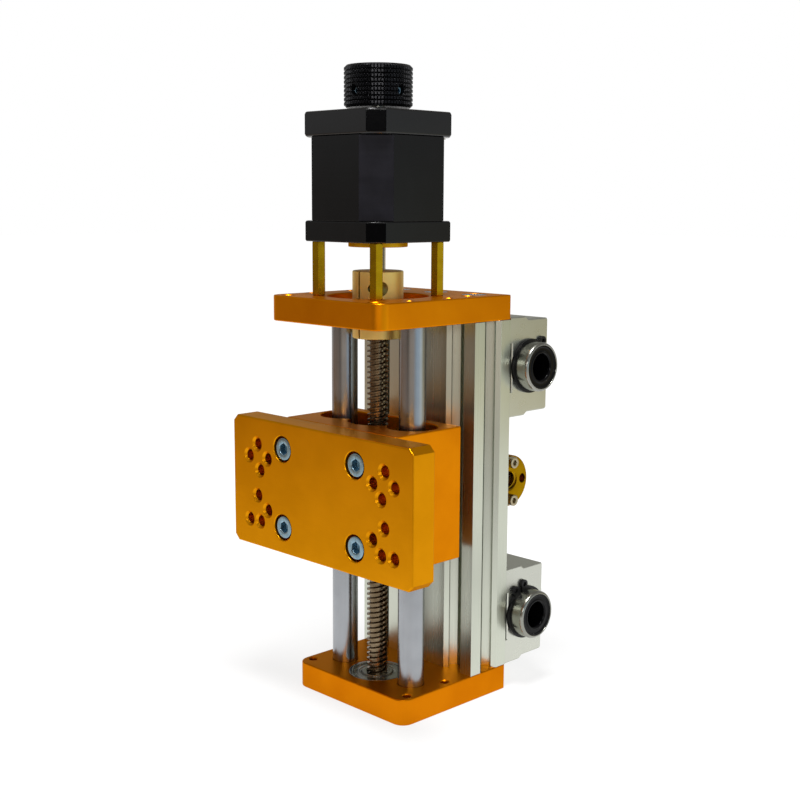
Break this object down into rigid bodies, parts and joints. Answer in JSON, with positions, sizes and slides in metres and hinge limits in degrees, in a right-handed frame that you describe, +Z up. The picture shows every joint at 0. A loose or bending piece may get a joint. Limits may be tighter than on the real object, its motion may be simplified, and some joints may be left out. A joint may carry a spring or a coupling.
{
  "type": "cnc z-axis module",
  "caption": "Motorised vertical slide: a lead screw moves a drilled tool plate along two rods on an extruded column, with bearing blocks behind for a cross axis.",
  "frame": {"origin": "on the lead screw's axis, on the underside of the base plate", "axes": "+Z up along the lead screw, -Y out of the tool plate's face, +X to the right seen from the front"},
  "size_m": [0.099, 0.0944, 0.2387],
  "materials": {
    "orange_anodised": "satin anodised orange-gold",
    "silver_anodised": "satin anodised natural, drawn along Z",
    "chromed_steel": "polished hard chrome",
    "bearing_steel": "ground bearing steel",
    "zinc_steel": "zinc plated",
    "screw_steel": "rolled thread, oiled",
    "spring_steel": "black phosphate",
    "brass": "machined brass",
    "coupling_aluminium": "turned aluminium",
    "black_paint": "black satin paint",
    "black_anodised": "black anodised, knurled",
    "black_resin": "moulded resin",
    "connector_plastic": "moulded nylon",
    "copper_wire": "enamelled copper wire",
    "rotor_iron": "laminated iron"
  },
  "bodies": {
    "frame": {"base_plate": "orange_anodised", "top_plate": "orange_anodised", "column_profile": "silver_anodised", "guide_rod_left": "chromed_steel", "guide_rod_right": "chromed_steel", "base_plate_screws": "zinc_steel", "top_plate_screws": "zinc_steel", "screw_bearing_outer_ring": "bearing_steel", "screw_bearing_shields": "bearing_steel", "motor_standoffs": "brass", "standoff_screws": "zinc_steel", "motor_front_bell": "black_paint", "motor_stator": "black_paint", "motor_rear_bell": "black_paint", "motor_coils": "copper_wire", "motor_screws": "zinc_steel", "motor_connector": "connector_plastic", "motor_bearing_outer_rings": "bearing_steel", "x_block_upper": "silver_anodised", "x_block_lower": "silver_anodised", "x_bearing_upper_left": "bearing_steel", "x_bearing_upper_right": "bearing_steel", "x_bearing_lower_left": "bearing_steel", "x_bearing_lower_right": "bearing_steel", "x_retainer_upper_left": "black_resin", "x_retainer_upper_right": "black_resin", "x_retainer_lower_left": "black_resin", "x_retainer_lower_right": "black_resin", "x_retaining_rings": "spring_steel", "x_block_bolts": "zinc_steel", "slot_nuts": "zinc_steel", "x_nut_bracket": "orange_anodised", "x_screw_nut": "brass", "x_nut_screws": "zinc_steel", "bracket_bolts": "zinc_steel"},
    "carriage": {"carriage_block": "orange_anodised", "tool_plate": "orange_anodised", "tool_plate_screws": "zinc_steel", "carriage_bearing_left": "bearing_steel", "carriage_bearing_right": "bearing_steel", "carriage_bearing_retainers": "black_resin", "carriage_retaining_rings": "spring_steel", "lead_screw_nut": "brass", "lead_screw_nut_screws": "zinc_steel"},
    "screw": {"lead_screw": "screw_steel", "shaft_coupling": "coupling_aluminium", "coupling_screws": "zinc_steel", "motor_shaft": "bearing_steel", "motor_rotor": "rotor_iron", "hand_knob": "black_anodised", "knob_screws": "spring_steel", "screw_bearing_inner_ring": "bearing_steel", "screw_bearing_balls": "bearing_steel", "motor_bearing_inner_rings": "bearing_steel"}
  },
  "joints": [
    {"name": "screw_turn", "type": "hinge", "parent": "frame", "child": "screw", "pos_m": [0, 0, 0], "axis": [0, 0, 1], "range_deg": [-3286, 4276]},
    {"name": "carriage_slide", "type": "slide", "parent": "frame", "child": "carriage", "axis": [0, 0, 1], "range_m": [-0.0475, 0.0365]}
  ],
  "couplings": [
    {"joint": "screw_turn", "follows": "carriage_slide", "rad_per_m": -1570.8}
  ]
}
